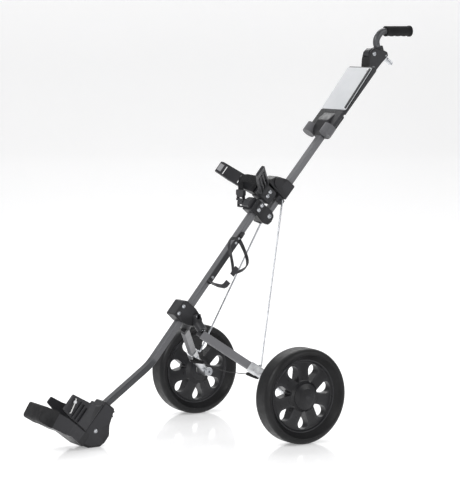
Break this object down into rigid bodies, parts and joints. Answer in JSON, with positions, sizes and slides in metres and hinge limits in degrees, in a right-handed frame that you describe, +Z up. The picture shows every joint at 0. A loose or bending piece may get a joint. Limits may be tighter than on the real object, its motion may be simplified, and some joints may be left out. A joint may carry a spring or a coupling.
{
  "type": "golf pull cart",
  "caption": "Folding two-wheel golf pull cart with splayed wheel legs, a hinged middle, bag cradles at foot and middle, bottle cage, score console and an angled grip handle.",
  "frame": {"origin": "on the floor below the middle of the overall box, cart standing on its wheels and foot", "axes": "+Z up, +X from the foot towards the handle, +Y to the left when looking along +X"},
  "size_m": [1.21, 0.596, 1.0926],
  "materials": {
    "tube_paint": "satin anthracite enamel",
    "dark_plastic": "moulded black, fine grain",
    "grey_plastic": "moulded light grey",
    "rim_plastic": "moulded black, dished face",
    "tyre_rubber": "smooth black tread",
    "toe_rubber": "dull black rubber",
    "grip_rubber": "soft black grip",
    "bright_steel": "zinc plated",
    "ferrule_alloy": "cast, semi bright",
    "score_white": "pale translucent plate",
    "strap_web": "woven webbing",
    "cord_white": "braided elastic cord",
    "cable_black": "coated wire rope",
    "bush_nylon": "natural nylon",
    "lever_silver": "cast lever"
  },
  "bodies": {
    "frame": {"lower_tube": "tube_paint", "foot_base": "dark_plastic", "foot_toe_pad": "toe_rubber", "foot_cradle": "dark_plastic", "elastic_cord": "cord_white", "cord_bead": "grey_plastic", "leg_bracket_right": "dark_plastic", "leg_bracket_left": "dark_plastic", "leg_hinge_pins": "bright_steel", "fold_hinge_block": "dark_plastic", "bag_bracket_right": "dark_plastic", "bag_bracket_left": "dark_plastic", "bag_bracket_pads": "grey_plastic", "bag_strap": "strap_web", "buckle_socket": "dark_plastic", "buckle_tongue": "dark_plastic", "bottle_cage": "dark_plastic", "frame_bolts": "bright_steel", "frame_screws": "bright_steel"},
    "upper": {"upper_tube": "tube_paint", "fold_pivot_sleeve": "bush_nylon", "rod_bracket": "dark_plastic", "console_tray": "dark_plastic", "ball_cups": "grey_plastic", "score_plate": "score_white", "score_clip": "dark_plastic", "upper_screws": "bright_steel", "handle_clamp": "dark_plastic", "handle_pins": "bright_steel"},
    "collar": {"locking_collar": "dark_plastic"},
    "handle": {"handle_knuckle": "dark_plastic", "handle_tube": "tube_paint", "handle_grip": "grip_rubber", "grip_plug": "dark_plastic"},
    "lever": {"cam_lever": "lever_silver"},
    "cable": {"stay_cable": "cable_black"},
    "leg_right": {"leg_tube_right": "tube_paint", "leg_knuckle_right": "dark_plastic", "axle_housing_right": "ferrule_alloy", "axle_right": "bright_steel", "rod_seat_bolt_right": "bright_steel", "cable_sleeve_right": "grip_rubber"},
    "rod_right": {"push_rod_right": "bright_steel"},
    "wheel_right": {"tyre_right": "tyre_rubber", "rim_outer_right": "rim_plastic", "rim_inner_right": "rim_plastic", "hub_cap_right": "rim_plastic", "wheel_bushes_right": "bush_nylon"},
    "leg_left": {"leg_tube_left": "tube_paint", "leg_knuckle_left": "dark_plastic", "axle_housing_left": "ferrule_alloy", "axle_left": "bright_steel", "rod_seat_bolt_left": "bright_steel", "cable_sleeve_left": "grip_rubber"},
    "rod_left": {"push_rod_left": "bright_steel"},
    "wheel_left": {"tyre_left": "tyre_rubber", "rim_outer_left": "rim_plastic", "rim_inner_left": "rim_plastic", "hub_cap_left": "rim_plastic", "wheel_bushes_left": "bush_nylon"}
  },
  "joints": [
    {"name": "main_fold", "type": "hinge", "parent": "frame", "child": "upper", "pos_m": [0.11598, 0, 0.57827], "axis": [0, 1, 0], "range_deg": [0, 140]},
    {"name": "leg_fold_right", "type": "hinge", "parent": "frame", "child": "leg_right", "pos_m": [-0.11542, -0.0294, 0.29778], "axis": [-0.1649, 0.681, 0.7135], "range_deg": [0, 133.48]},
    {"name": "rod_swing_right", "type": "hinge", "parent": "upper", "child": "rod_right", "pos_m": [0.15518, -0.0175, 0.62108], "axis": [-0.1283, 0.9912, 0.0339], "range_deg": [-134.05, 0]},
    {"name": "wheel_spin_right", "type": "hinge", "parent": "leg_right", "child": "wheel_right", "pos_m": [0.053, -0.265, 0.127], "axis": [0, 1, 0], "continuous": true},
    {"name": "leg_fold_left", "type": "hinge", "parent": "frame", "child": "leg_left", "pos_m": [-0.11542, 0.0294, 0.29778], "axis": [0.1649, 0.681, -0.7135], "range_deg": [0, 133.48]},
    {"name": "rod_swing_left", "type": "hinge", "parent": "upper", "child": "rod_left", "pos_m": [0.15518, 0.0175, 0.62108], "axis": [0.1283, 0.9912, -0.0339], "range_deg": [-134.05, 0]},
    {"name": "wheel_spin_left", "type": "hinge", "parent": "leg_left", "child": "wheel_left", "pos_m": [0.053, 0.265, 0.127], "axis": [0, 1, 0], "continuous": true},
    {"name": "cable_slide", "type": "slide", "parent": "frame", "child": "cable", "axis": [-0.9264, 0, -0.3766], "range_m": [0, 0.1283], "deforming": ["stay_cable"]},
    {"name": "collar_slide", "type": "slide", "parent": "upper", "child": "collar", "axis": [0.66, 0, 0.7513], "range_m": [0, 0.03]},
    {"name": "handle_tilt", "type": "hinge", "parent": "upper", "child": "handle", "pos_m": [0.4685, 0, 1.015], "axis": [0, 1, 0], "range_deg": [-90, 0]},
    {"name": "lever_swing", "type": "hinge", "parent": "upper", "child": "lever", "pos_m": [0.50832, 0, 1.00895], "axis": [0, 1, 0], "range_deg": [-80, 0]}
  ],
  "couplings": [
    {"joint": "leg_fold_right", "follows": "main_fold", "ratio": 0.952},
    {"joint": "rod_swing_right", "follows": "main_fold", "ratio": -0.9561},
    {"joint": "leg_fold_left", "follows": "main_fold", "ratio": 0.952},
    {"joint": "rod_swing_left", "follows": "main_fold", "ratio": -0.9561},
    {"joint": "cable_slide", "follows": "main_fold", "m_per_rad": 0.0517}
  ]
}
